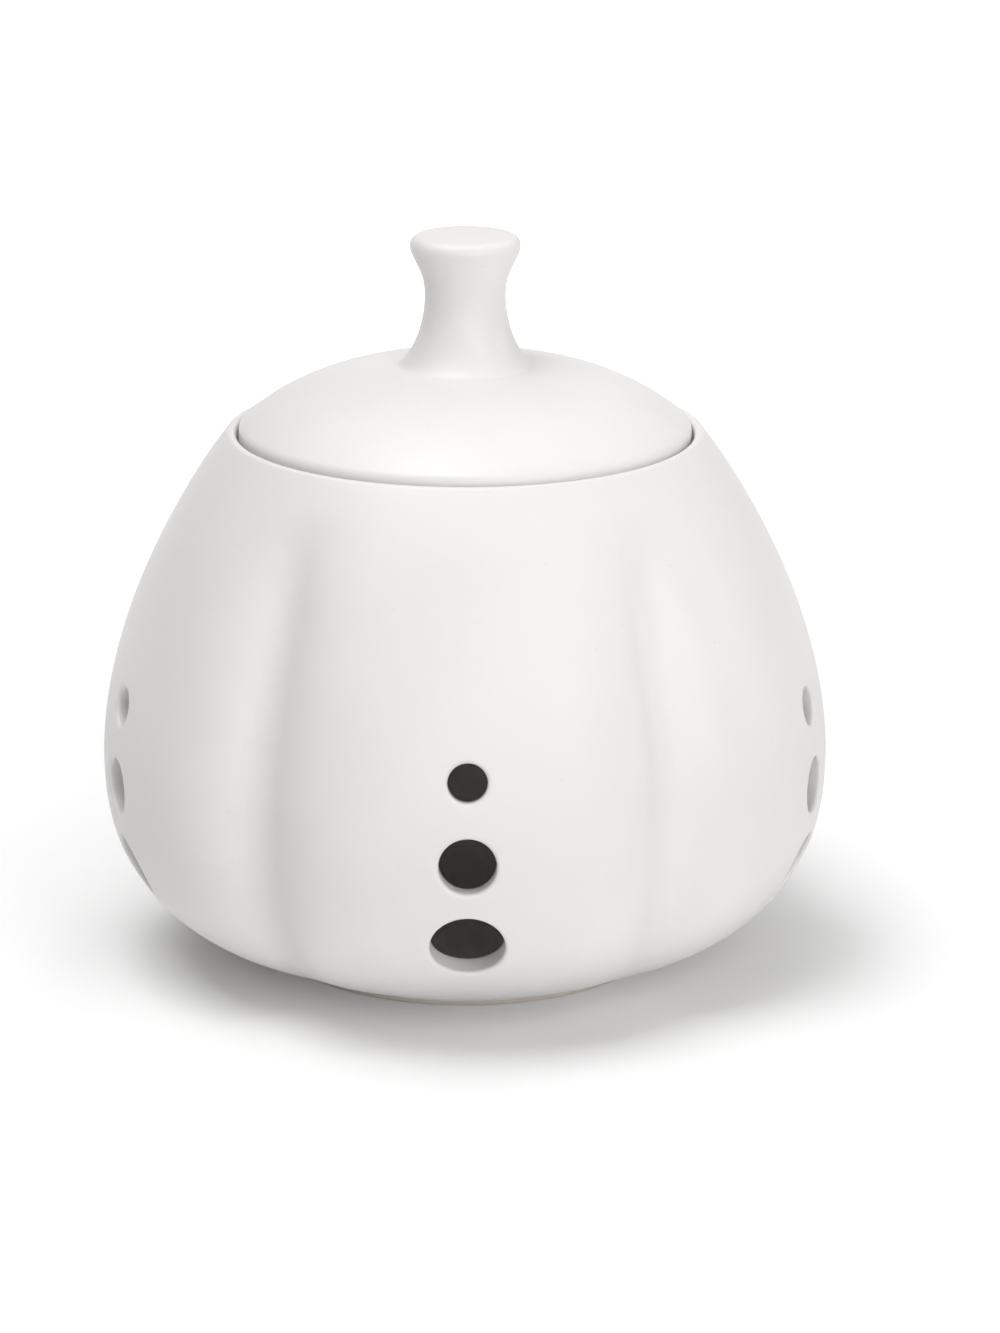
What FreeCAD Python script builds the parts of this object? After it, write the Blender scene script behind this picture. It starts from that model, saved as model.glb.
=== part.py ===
"""Garlic keeper: a lobed pot with vents in its wall, and a lid that drops into its mouth.

The origin is on the surface that the pot stands on, under its middle. +Z is up and one
column of vents faces -Y. All sizes are in millimetres.
"""

import FreeCAD, Part
import math
import os

# Pot wall
LOBE_COUNT = 5
BELLY_RADIUS = 70.0
BELLY_HEIGHT = 40.5
WALL = 4.2
GROOVE_DEPTH = 6.4
GROOVE_TOP = 98.0

# Pot foot and floor
FOOT_HEIGHT = 2.5
FOOT_RADIUS = 37.6
FOOT_WIDTH = 5.0
FOOT_SETBACK = 1.4
FLOOR = 4.5

# Pot mouth, with the ledge that carries the lid
MOUTH_RADIUS = 43.6
MOUTH_HEIGHT = 102.7
LIP_WIDTH = 2.0
LIP_SHARE = 0.9
LEDGE_DEPTH = 2.5
LEDGE_WIDTH = 5.2
LEDGE_THICKNESS = 4.2
NECK_HEIGHT = 8.0
NECK_STEP = 0.8

# Vents, from the top one down: diameter, and the web of wall below each
VENT_DIAMETERS = [7.3, 10.6, 13.8]
VENT_WEBS = [6.5, 5.0]
TOP_VENT_HEIGHT = 54.3
VENT_ROUND = 0.8

# Lid
LID_CLEARANCE = 0.5
LID_EDGE = 4.1
LID_CROWN = 11.7
LID_WALL = 4.2
LID_EDGE_ROUND = 1.8
LID_SEAT_ROUND = 0.8
SKIRT_DEPTH = 5.0
SKIRT_WALL = 3.5
SKIRT_ROUND = 1.2
CROWN_ROUND = 2.0

# Knob, measured up from the lid's crown, and the blind bore inside it
KNOB_HEIGHT = 24.6
KNOB_RADIUS = 10.5
KNOB_WAIST_RADIUS = 7.7
KNOB_WAIST_HEIGHT = 13.5
KNOB_FOOT_RADIUS = 13.0
KNOB_ROUND = 1.9
KNOB_CAP = 5.0
BORE_RADIUS = 3.2
BORE_ROUND = 1.0

# How full each curve is: 2 and 2 would give an ellipse
UNDER_CURVE = (2.41, 3.32)
SHOULDER_CURVE = (1.79, 1.40)
CROWN_FULLNESS = 3.0
LOBE_FLATNESS = 5.4
VALLEY_SHARE = 0.12
GROOVE_FADE = (4.3, 1.6)
KNOB_FOOT_PULL = 0.15
KNOB_WAIST_PULLS = (0.67, 0.50)
KNOB_RIM_PULL = 0.25

# How finely the curves are followed
POINTS_PER_HALF_LOBE = 7
POINT_CROWDING = 1.5
UNDER_SECTIONS = 7
SHOULDER_SECTIONS = 8
CAVITY_SECTIONS = 10
LIP_SECTIONS = 3
CROWN_POINTS = 9

UP = FreeCAD.Vector(0, 0, 1)
ORIGIN = FreeCAD.Vector(0, 0, 0)

LIP_RADIUS = MOUTH_RADIUS + LIP_WIDTH
UNDER_RADIUS = FOOT_RADIUS + FOOT_SETBACK
LEDGE_HEIGHT = MOUTH_HEIGHT - LEDGE_DEPTH
THROAT_RADIUS = MOUTH_RADIUS - LEDGE_WIDTH
THROAT_HEIGHT = LEDGE_HEIGHT - LEDGE_THICKNESS
FLOOR_TOP = FOOT_HEIGHT + FLOOR


def curve_radius_and_slope(z, end_height, end_radius, curve):
    """Radius and slope (dr/dz) at height z of a curve from the belly to the given end."""
    along, across = curve
    share = (1 - (end_radius / BELLY_RADIUS) ** across) ** (1 / along)
    reach = (end_height - BELLY_HEIGHT) / share
    u = (z - BELLY_HEIGHT) / reach
    left = 1 - u**along
    radius = BELLY_RADIUS * left ** (1 / across)
    slope = -radius * along * u ** (along - 1) / (across * left * reach)
    return radius, slope


def outer_wall(z):
    """Radius and slope of the pot's outside at height z, over a lobe's middle."""
    if z < BELLY_HEIGHT:
        return curve_radius_and_slope(z, FOOT_HEIGHT, UNDER_RADIUS, UNDER_CURVE)
    return curve_radius_and_slope(z, MOUTH_HEIGHT, LIP_RADIUS, SHOULDER_CURVE)


def inner_radius(z):
    """Radius of the pot's inside at height z, one wall in from the outside."""
    radius, slope = outer_wall(z)
    return radius - WALL * math.hypot(1, slope)


def groove_depth(z):
    """Depth of the grooves between the lobes at height z."""
    if z < BELLY_HEIGHT:
        u = (BELLY_HEIGHT - z) / (BELLY_HEIGHT - FOOT_HEIGHT)
        return GROOVE_DEPTH * (1 - u**2)
    u = min((z - BELLY_HEIGHT) / (GROOVE_TOP - BELLY_HEIGHT), 1)
    rise, fade = GROOVE_FADE
    return GROOVE_DEPTH * (1 - u**rise) ** fade


def groove_share(a):
    """Share of the groove's depth at a, which is 0 on a lobe's middle and 1 in the valley."""
    start = 1 - VALLEY_SHARE
    slope = LOBE_FLATNESS * start ** (LOBE_FLATNESS - 1)
    bottom = start**LOBE_FLATNESS + slope * VALLEY_SHARE / 2
    if a <= start:
        return a**LOBE_FLATNESS / bottom
    t = (a - start) / VALLEY_SHARE
    return (start**LOBE_FLATNESS + slope * VALLEY_SHARE * (t - t * t / 2)) / bottom


def lobe_stations():
    """Pairs of angle and groove share round the pot, closer together near the valleys."""
    half = math.pi / LOBE_COUNT
    steps = range(1, POINTS_PER_HALF_LOBE + 1)
    rising = [1 - (1 - k / POINTS_PER_HALF_LOBE) ** POINT_CROWDING for k in steps]
    across = [-a for a in reversed(rising[:-1])] + [0.0] + rising
    stations = []
    for lobe in range(LOBE_COUNT):
        middle = -math.pi / 2 + 2 * half * lobe
        stations += [(middle + a * half, groove_share(abs(a))) for a in across]
    return stations


def section(z, radius, depth):
    """Closed smooth outline at height z, with grooves of the given depth."""
    stations = lobe_stations()
    points = []
    for angle, share in stations:
        r = radius - depth * share
        points.append(FreeCAD.Vector(r * math.cos(angle), r * math.sin(angle), z))
    angles = [angle for angle, _ in stations]
    curve = Part.BSplineCurve()
    curve.interpolate(
        Points=points, PeriodicFlag=True, Parameters=angles + [angles[0] + 2 * math.pi]
    )
    return Part.Wire([curve.toShape()])


def pot_outside():
    """Solid that fills the pot's outer shape from the foot to the top of the lip."""
    span = BELLY_HEIGHT - FOOT_HEIGHT
    turns = [math.pi / 2 * k / UNDER_SECTIONS for k in range(UNDER_SECTIONS)]
    heights = [FOOT_HEIGHT + span * (1 - math.cos(turn)) for turn in turns]
    rise = (MOUTH_HEIGHT - BELLY_HEIGHT) / SHOULDER_SECTIONS
    heights += [BELLY_HEIGHT + rise * k for k in range(SHOULDER_SECTIONS + 1)]
    wires = [section(z, outer_wall(z)[0], groove_depth(z)) for z in heights]
    body = Part.makeLoft(wires, True, False)
    return body.fuse(lip_round(wires[-1]))


def lip_size():
    """Radius of the lip's round edge, the angle at which it leaves the wall, and its top."""
    slope = outer_wall(MOUTH_HEIGHT)[1]
    lean = math.atan2(-slope, 1)
    round_radius = LIP_WIDTH / (1 + math.cos(lean))
    return round_radius, lean, MOUTH_HEIGHT + round_radius * (1 - math.sin(lean))


def lip_round(base):
    """The outer half of the lip's round edge, on the section that ends the wall."""
    round_radius, lean, top = lip_size()
    wires = [base]
    for k in range(1, LIP_SECTIONS + 1):
        angle = lean + (math.pi / 2 - lean) * k / LIP_SECTIONS
        radius = MOUTH_RADIUS + round_radius * (1 + math.cos(angle))
        wires.append(section(top - round_radius * (1 - math.sin(angle)), radius, 0))
    return Part.makeLoft(wires, True, False)


def pot_cavity():
    """Solid that fills the inside of the pot, from the floor up to the ledge's throat."""
    neck_base = THROAT_HEIGHT - NECK_HEIGHT
    rise = (neck_base - FLOOR_TOP) / CAVITY_SECTIONS
    heights = [FLOOR_TOP + rise * k for k in range(CAVITY_SECTIONS + 1)]
    wires = [section(z, inner_radius(z), groove_depth(z)) for z in heights]
    store = Part.makeLoft(wires, True, False)
    neck_end = section(THROAT_HEIGHT, THROAT_RADIUS + NECK_STEP, 0)
    neck = Part.makeLoft([wires[-1], neck_end], True, True)
    return store.fuse(neck)


def pot_mouth():
    """Solid that fills the throat and the recess where the lid sits."""
    top = lip_size()[2]
    throat = Part.makeCylinder(
        THROAT_RADIUS, top - THROAT_HEIGHT + 1, FreeCAD.Vector(0, 0, THROAT_HEIGHT - 1)
    )
    recess = Part.makeCylinder(
        MOUTH_RADIUS, top - LEDGE_HEIGHT + 1, FreeCAD.Vector(0, 0, LEDGE_HEIGHT)
    )
    return throat.fuse(recess)


def foot_ring():
    """Plain ring under the pot, rooted inside its floor."""
    height = FOOT_HEIGHT + FLOOR / 2
    ring = Part.makeCylinder(FOOT_RADIUS, height)
    bore = Part.makeCylinder(FOOT_RADIUS - FOOT_WIDTH, FOOT_HEIGHT)
    return ring.cut(bore)


def vent_cutters():
    """For each vent in the front column: a round cutter that widens at the outside."""
    radii = [d / 2 for d in VENT_DIAMETERS]
    z = TOP_VENT_HEIGHT
    cutters = []
    for k, radius in enumerate(radii):
        if k > 0:
            z -= radii[k - 1] + VENT_WEBS[k - 1] + radius
        wall_radius, slope = outer_wall(z)
        outwards = FreeCAD.Vector(0, -1, -slope).normalize()
        centre = FreeCAD.Vector(0, -wall_radius, z)
        hole = Part.makeCylinder(radius, 4 * WALL, centre - outwards * 2 * WALL, outwards)
        start = centre - outwards * VENT_ROUND
        wide = radius + 2 * VENT_ROUND
        rim = Part.makeCone(radius, wide, 2 * VENT_ROUND, start, outwards)
        cutters.append(hole.fuse(rim))
    return cutters


def mouth_rim(pot):
    """Edge where the recess meets the top of the lip."""
    top = lip_size()[2]
    for edge in pot.Edges:
        box = edge.BoundBox
        flat = abs(box.ZMin - top) < 0.01 and abs(box.ZMax - top) < 0.01
        if flat and abs(box.XMax - MOUTH_RADIUS) < 0.01:
            return [edge]
    return []


def make_pot():
    """The pot: lobed wall, floor, foot ring, ledge, lip and vents in one piece."""
    pot = pot_outside().fuse(foot_ring())
    pot = pot.cut(pot_cavity().fuse(pot_mouth())).removeSplitter().Solids[0]
    pot = pot.makeFillet(LIP_SHARE * lip_size()[0], mouth_rim(pot))
    for lobe in range(LOBE_COUNT):
        for cutter in vent_cutters():
            cutter.rotate(ORIGIN, UP, 360 * lobe / LOBE_COUNT)
            pot = pot.cut(cutter)
    return pot.Solids[0]


def at(r, z):
    """Point on the lid's half outline."""
    return FreeCAD.Vector(r, 0, z)


def line(start, end):
    """Straight edge."""
    return Part.LineSegment(start, end).toShape()


def quarter_round(start, end, corner, radius):
    """Quarter circle from start to end, whose tangents meet at the corner."""
    middle = corner + (start + end - corner * 2) * (1 - math.sqrt(0.5))
    return Part.Arc(start, middle, end).toShape()


def bend(start, start_pull, end_pull, end):
    """Smooth bend from start to end, drawn towards the two pulls on the way."""
    curve = Part.BezierCurve()
    curve.setPoles([start, start_pull, end_pull, end])
    return curve.toShape()


def lid_radius():
    """Radius of the lid's rim, which fits the pot's mouth."""
    return MOUTH_RADIUS - LID_CLEARANCE


def crown_height(r):
    """Height of the lid's outside, r from the middle."""
    rise = LID_CROWN * (1 - (r / lid_radius()) ** CROWN_FULLNESS)
    return LEDGE_HEIGHT + LID_EDGE + rise


def crown_line(start, end, drop):
    """Smooth edge along the crown from one radius to another, lowered by drop."""
    step = (end - start) / (CROWN_POINTS - 1)
    radii = [start + step * k for k in range(CROWN_POINTS)]
    curve = Part.BSplineCurve()
    curve.interpolate(Points=[at(r, crown_height(r) - drop) for r in radii])
    return curve.toShape()


def knob_outline():
    """Edges of the knob's outside, from its foot on the crown to the middle of its top."""
    base = crown_height(0)
    foot = at(KNOB_FOOT_RADIUS, crown_height(KNOB_FOOT_RADIUS))
    waist = at(KNOB_WAIST_RADIUS, base + KNOB_WAIST_HEIGHT)
    top = base + KNOB_HEIGHT
    rim = at(KNOB_RADIUS, top - KNOB_ROUND)
    edge = at(KNOB_RADIUS - KNOB_ROUND, top)
    inwards = (KNOB_FOOT_RADIUS - KNOB_WAIST_RADIUS) * KNOB_FOOT_PULL
    foot_pull = at(foot.x - inwards, crown_height(foot.x - inwards))
    below, above = KNOB_WAIST_PULLS
    upper = rim.z - waist.z
    return [
        bend(foot, foot_pull, waist - UP * below * KNOB_WAIST_HEIGHT, waist),
        bend(waist, waist + UP * above * upper, rim - UP * KNOB_RIM_PULL * upper, rim),
        quarter_round(rim, edge, at(KNOB_RADIUS, top), KNOB_ROUND),
        line(edge, at(0, top)),
    ]


def bore_outline():
    """Edges of the knob's blind bore, from its end on the axis down to the crown."""
    end = crown_height(0) + KNOB_HEIGHT - KNOB_CAP
    side = at(BORE_RADIUS, end - BORE_RADIUS)
    mouth = at(BORE_RADIUS, crown_height(BORE_RADIUS) - LID_WALL)
    return [
        quarter_round(at(0, end), side, at(BORE_RADIUS, end), BORE_RADIUS),
        line(side, mouth),
    ]


def skirt_outline():
    """Edges of the skirt and seat, from inside the crown out to the rim's lower corner."""
    outside = THROAT_RADIUS - LID_CLEARANCE
    inside = outside - SKIRT_WALL
    bottom = LEDGE_HEIGHT - SKIRT_DEPTH
    corners = [
        at(inside, crown_height(inside) - LID_WALL),
        at(inside, bottom),
        at(outside, bottom),
        at(outside, LEDGE_HEIGHT),
        at(lid_radius(), LEDGE_HEIGHT),
    ]
    return [line(start, end) for start, end in zip(corners, corners[1:])]


def ring_edges(shape, r, z):
    """Edges of a turned shape that run round the axis at radius r and height z."""
    found = []
    for edge in shape.Edges:
        box = edge.BoundBox
        level = abs(box.ZMin - z) < 0.01 and abs(box.ZMax - z) < 0.01
        if level and abs(box.XMax - r) < 0.01:
            found.append(edge)
    return found


def make_lid():
    """The lid: rim, crown, skirt and hollow knob in one piece."""
    radius = lid_radius()
    shoulder = at(radius, crown_height(radius))
    skirt_out = THROAT_RADIUS - LID_CLEARANCE
    skirt_in = skirt_out - SKIRT_WALL
    skirt_bottom = LEDGE_HEIGHT - SKIRT_DEPTH
    edges = [line(at(radius, LEDGE_HEIGHT), shoulder)]
    edges.append(crown_line(radius, KNOB_FOOT_RADIUS, 0))
    edges += knob_outline()
    edges.append(line(edges[-1].Vertexes[-1].Point, bore_outline()[0].Vertexes[0].Point))
    edges += bore_outline()
    edges.append(crown_line(BORE_RADIUS, skirt_in, LID_WALL))
    edges += skirt_outline()
    outline = Part.Wire(Part.sortEdges(edges)[0])
    lid = Part.Face(outline).revolve(ORIGIN, UP, 360)
    rounds = [
        (LID_EDGE_ROUND, radius, shoulder.z),
        (LID_SEAT_ROUND, radius, LEDGE_HEIGHT),
        (SKIRT_ROUND, skirt_out, skirt_bottom),
        (SKIRT_ROUND, skirt_in, skirt_bottom),
        (CROWN_ROUND, skirt_in, crown_height(skirt_in) - LID_WALL),
        (BORE_ROUND, BORE_RADIUS, crown_height(BORE_RADIUS) - LID_WALL),
    ]
    for size, r, z in rounds:
        lid = lid.makeFillet(size, ring_edges(lid, r, z))
    return lid.Solids[0]


def main():
    """Build every piece and write one file for each."""
    os.makedirs("parts", exist_ok=True)
    make_pot().exportStep("parts/pot.step")
    make_lid().exportStep("parts/lid.step")


main()
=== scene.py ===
"""Garlic keeper: a lobed ceramic pot with vents in its wall, and the lid that sits in its mouth.

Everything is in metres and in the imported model's frame: the pot stands on Z = 0, +Z is up and
one column of vents faces -Y. The dataclasses hold their sizes in millimetres.
"""

import logging
import math
from dataclasses import dataclass
from enum import Enum

import bpy
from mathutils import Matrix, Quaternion, Vector


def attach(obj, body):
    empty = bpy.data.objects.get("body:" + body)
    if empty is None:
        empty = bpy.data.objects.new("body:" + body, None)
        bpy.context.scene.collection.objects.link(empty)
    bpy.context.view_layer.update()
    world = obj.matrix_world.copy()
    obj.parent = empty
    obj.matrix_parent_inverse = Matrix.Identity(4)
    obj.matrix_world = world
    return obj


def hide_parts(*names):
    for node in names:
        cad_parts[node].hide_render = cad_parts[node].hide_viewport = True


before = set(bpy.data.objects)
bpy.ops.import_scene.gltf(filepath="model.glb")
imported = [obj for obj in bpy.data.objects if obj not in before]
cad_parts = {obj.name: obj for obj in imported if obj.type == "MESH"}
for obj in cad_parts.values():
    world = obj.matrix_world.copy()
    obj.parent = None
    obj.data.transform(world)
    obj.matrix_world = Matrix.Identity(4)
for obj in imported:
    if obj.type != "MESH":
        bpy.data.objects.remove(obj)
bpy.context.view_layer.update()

MM = 0.001
WELD_DISTANCE = 0.01 * MM

# How the meshes are laid out: rows, steps and how they crowd
UNDER_EASE = 1.4
RIM_SPREAD = 4.0
FLOOR_RISE = 6.0
SOLVER_STEPS = 3
VENT_BLEND_ROWS = 6
VENT_ROUND_ROWS = 5
VENT_ROWS = {"Lower": "Lower Rows", "Middle": "Middle Rows", "Upper": "Upper Rows"}
PROFILE_ROUND_STEPS = 6
PROFILE_STEP = 1.5
LOWER_KNOB_STEPS = 14
UPPER_KNOB_STEPS = 12

# A round this share of its whole size leaves a short flat, so that no point falls on another
FULL_ROUND = 0.98

# Where the glaze's masks begin and are full, and how far their borders wander
CLOUD_LIMITS = (0.3, 0.7)
THIN_LIMITS = (0.3, 1.0)
THIN_WANDER = 0.5
BARE_LIMITS = (0.62, 0.72)
BARE_WANDER = 0.3

Colour = tuple[float, float, float]

log = logging.getLogger("garlic_keeper")


class Value:
    """A number or vector that flows through a node tree, with arithmetic that adds nodes."""

    def __init__(self, bench: "Bench", socket: bpy.types.NodeSocket) -> None:
        """Keep the bench that the value belongs to and the socket that it comes out of."""
        self.bench = bench
        self.socket = socket

    def __add__(self, other: "Value | float") -> "Value":
        """Sum of two values."""
        return self.bench.math("ADD", self, other)

    def __radd__(self, other: float) -> "Value":
        """Sum of a number and this value."""
        return self.bench.math("ADD", other, self)

    def __sub__(self, other: "Value | float") -> "Value":
        """Difference of two values."""
        return self.bench.math("SUBTRACT", self, other)

    def __rsub__(self, other: float) -> "Value":
        """A number less this value."""
        return self.bench.math("SUBTRACT", other, self)

    def __mul__(self, other: "Value | float") -> "Value":
        """Product of two values."""
        return self.bench.math("MULTIPLY", self, other)

    def __rmul__(self, other: float) -> "Value":
        """Product of a number and this value."""
        return self.bench.math("MULTIPLY", other, self)

    def __truediv__(self, other: "Value | float") -> "Value":
        """Quotient of two values."""
        return self.bench.math("DIVIDE", self, other)

    def __rtruediv__(self, other: float) -> "Value":
        """A number divided by this value."""
        return self.bench.math("DIVIDE", other, self)

    def __pow__(self, other: "Value | float") -> "Value":
        """This value raised to a power."""
        return self.bench.math("POWER", self, other)


Term = Value | float


class Bench:
    """A node tree being built, with short calls that add and join its nodes."""

    def __init__(self, tree: bpy.types.NodeTree) -> None:
        """Work on a tree that exists, such as a material's.

        Args:
            tree: The tree.
        """
        self.tree = tree
        self.given: dict[str, Value] = {}
        self.result: bpy.types.Node | None = None

    @classmethod
    def group(
        cls, name: str, kind: str, inputs: dict[str, str], outputs: dict[str, str]
    ) -> "Bench":
        """Open a new node group.

        Args:
            name: The group's name.
            kind: The tree's type, such as GeometryNodeTree.
            inputs: Socket types by input name, without their common prefix.
            outputs: Socket types by output name, without their common prefix.

        Returns:
            The bench that works on it.
        """
        bench = cls(bpy.data.node_groups.new(name, kind))
        for way, sockets in (("INPUT", inputs), ("OUTPUT", outputs)):
            for label, socket in sockets.items():
                bench.tree.interface.new_socket(
                    name=label, in_out=way, socket_type="NodeSocket" + socket
                )
        source = bench.node("NodeGroupInput")
        bench.given = {label: Value(bench, source.outputs[label]) for label in inputs}
        bench.result = bench.node("NodeGroupOutput")
        return bench

    def node(self, kind: str, **settings: object) -> bpy.types.Node:
        """Add a node and set its properties.

        Args:
            kind: The node's type.
            settings: Properties to set on it.

        Returns:
            The new node.
        """
        node = self.tree.nodes.new(kind)
        for name, value in settings.items():
            setattr(node, name, value)
        return node

    def feed(self, socket: bpy.types.NodeSocket, value: object) -> None:
        """Link a value to a socket, or set a plain number on it.

        Args:
            socket: The input socket.
            value: A Value to link, or a constant.
        """
        if isinstance(value, Value):
            self.tree.links.new(value.socket, socket)
        else:
            socket.default_value = value

    def use(self, kind: str, inputs: dict[str, object], **settings: object) -> Value:
        """Add a node, feed it by socket name and return its first output.

        Args:
            kind: The node's type.
            inputs: What each named input gets.
            settings: Properties to set on the node.

        Returns:
            The node's first output.
        """
        node = self.node(kind, **settings)
        for name, value in inputs.items():
            self.feed(node.inputs[name], value)
        return Value(self, node.outputs[0])

    def place(self, group: "Bench", values: dict[str, object]) -> dict[str, Value]:
        """Put another tree into this one.

        Args:
            group: The tree to place.
            values: What its inputs get. Names that it doesn't have are passed over.

        Returns:
            Its outputs by name.
        """
        kind = self.tree.bl_idname.replace("NodeTree", "NodeGroup")
        node = self.node(kind, node_tree=group.tree)
        for name, value in values.items():
            if name in node.inputs:
                self.feed(node.inputs[name], value)
        return {socket.name: Value(self, socket) for socket in node.outputs}

    def math(self, operation: str, *terms: Term) -> Value:
        """One Math node on the given terms.

        Args:
            operation: The node's operation.
            terms: What its inputs get, in order.

        Returns:
            The node's number.
        """
        node = self.node("ShaderNodeMath", operation=operation)
        for socket, term in zip(node.inputs, terms):
            self.feed(socket, term)
        return Value(self, node.outputs[0])

    def clamp(self, value: Term, low: Term, high: Term) -> Value:
        """The value, held between a low and a high limit."""
        return self.math("MINIMUM", self.math("MAXIMUM", value, low), high)

    def mix(self, start: Term, end: Term, share: Value) -> Value:
        """The value that lies the given share of the way from start to end."""
        return share * (end - start) + start

    def vector(self, x: Term, y: Term, z: Term) -> Value:
        """A vector made of three values."""
        return self.use("ShaderNodeCombineXYZ", {"X": x, "Y": y, "Z": z})

    def parts(self, vector: Value) -> tuple[Value, Value, Value]:
        """Take a vector apart.

        Args:
            vector: The vector.

        Returns:
            Its X, Y and Z.
        """
        node = self.node("ShaderNodeSeparateXYZ")
        self.feed(node.inputs[0], vector)
        return tuple(Value(self, socket) for socket in node.outputs)

    def vector_math(self, operation: str, *terms: object) -> Value:
        """One Vector Math node on the given terms.

        Args:
            operation: The node's operation.
            terms: What its inputs get, in order. The third is a scale where it has one.

        Returns:
            The node's vector, or its number for a dot product.
        """
        node = self.node("ShaderNodeVectorMath", operation=operation)
        sockets = list(node.inputs)
        if operation == "SCALE":
            sockets = [node.inputs[0], node.inputs["Scale"]]
        for socket, term in zip(sockets, terms):
            self.feed(socket, term)
        single = operation in ("DOT_PRODUCT", "LENGTH")
        return Value(self, node.outputs["Value" if single else "Vector"])

    def where(self) -> tuple[Value, Value, Value]:
        """The X, Y and Z of the points being worked on."""
        return self.parts(Value(self, self.node("GeometryNodeInputPosition").outputs[0]))

    def grid(self, across: Term, along: Term) -> Value:
        """A flat grid of unit squares, centred on the origin.

        Args:
            across: Squares along X.
            along: Squares along Y.

        Returns:
            The grid's mesh.
        """
        sizes = {"Size X": across, "Size Y": along}
        counts = {}
        for name, squares in (("Vertices X", across), ("Vertices Y", along)):
            counts[name] = squares + 1
        return self.use("GeometryNodeMeshGrid", {**sizes, **counts})

    def moved(self, mesh: Value, position: Value) -> Value:
        """A mesh whose points are put at the given position."""
        return self.use("GeometryNodeSetPosition", {"Geometry": mesh, "Position": position})

    def noise(self, position: Value, size: Term, detail: float) -> Value:
        """Smooth noise from 0 to 1, in patches of about a size, with finer detail in them."""
        inputs = {"Vector": position, "Scale": 1.0 / size, "Detail": detail}
        return self.use("ShaderNodeTexNoise", inputs)

    def smooth(self, value: Value, low: Term, high: Term) -> Value:
        """0 below a low limit and 1 above a high one, with a smooth passage between them."""
        inputs = {"Value": value, "From Min": low, "From Max": high}
        return self.use("ShaderNodeMapRange", inputs, interpolation_type="SMOOTHSTEP")

    def blended(self, share: Term, start: Value, end: Value) -> Value:
        """The colour that lies the given share of the way from start to end.

        Args:
            share: The share, 0 at the start.
            start: The first colour.
            end: The second colour.

        Returns:
            The mixed colour.
        """
        node = self.node("ShaderNodeMix", data_type="RGBA")
        wanted = {"Factor_Float": share, "A_Color": start, "B_Color": end}
        for socket in node.inputs:
            if socket.identifier in wanted:
                self.feed(socket, wanted[socket.identifier])
        return Value(self, next(s for s in node.outputs if s.identifier == "Result_Color"))

    def joined(self, meshes: list[Value]) -> Value:
        """Several meshes as one.

        Args:
            meshes: The meshes, in order.

        Returns:
            The joined mesh.
        """
        node = self.node("GeometryNodeJoinGeometry")
        for mesh in reversed(meshes):
            self.tree.links.new(mesh.socket, node.inputs[0])
        return Value(self, node.outputs[0])

    def welded(self, mesh: Value) -> Value:
        """A mesh with the points that coincide made one."""
        inputs = {"Geometry": mesh, "Distance": WELD_DISTANCE}
        return self.use("GeometryNodeMergeByDistance", inputs)

    def marked(self, mesh: Value, name: str, value: Term) -> Value:
        """A mesh with a number stored on its points under a name."""
        inputs = {"Geometry": mesh, "Name": name, "Value": value}
        return self.use("GeometryNodeStoreNamedAttribute", inputs, data_type="FLOAT")

    def stored(self, name: str) -> Value:
        """The number stored on points under a name.

        Args:
            name: The name.

        Returns:
            The number.
        """
        node = self.node("GeometryNodeInputNamedAttribute", data_type="FLOAT")
        node.inputs["Name"].default_value = name
        return Value(self, node.outputs["Attribute"])

    def finish(self, values: dict[str, Value]) -> None:
        """Feed the tree's outputs by name."""
        for name, value in values.items():
            self.feed(self.result.inputs[name], value)


def inputs_of(kind: str, names: str) -> dict[str, str]:
    """Named inputs of one socket type, written with commas between them."""
    return {name.strip(): kind for name in names.split(",")}


WALL_SIZES = inputs_of(
    "Float",
    "Belly Radius, Belly Height, Wall, Foot Height, Under Radius, Under Along, Under Across,"
    "Lip Height, Shoulder Radius, Shoulder Along, Shoulder Across, Groove Depth, Groove Top,"
    "Groove Rise, Groove Fade, Lobe Flatness, Valley Share",
) | inputs_of("Int", "Lobes")

PATTERN_SIZES = inputs_of(
    "Float",
    "Window Angle, Crowding, Foot Height, Window Bottom, Lower Web, Upper Web, Window Top,"
    "Top Height",
) | inputs_of(
    "Int",
    "Lobes, Columns, Window Columns, Under Rows, Lower Rows, Middle Rows, Upper Rows,"
    "Shoulder Rows",
)

VENT_SIZES = inputs_of("Float", "Centre Height, Vent Radius, Vent Round") | inputs_of(
    "Int", "First Row, Rows, Around, Blend Rows, Round Rows"
)


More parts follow.
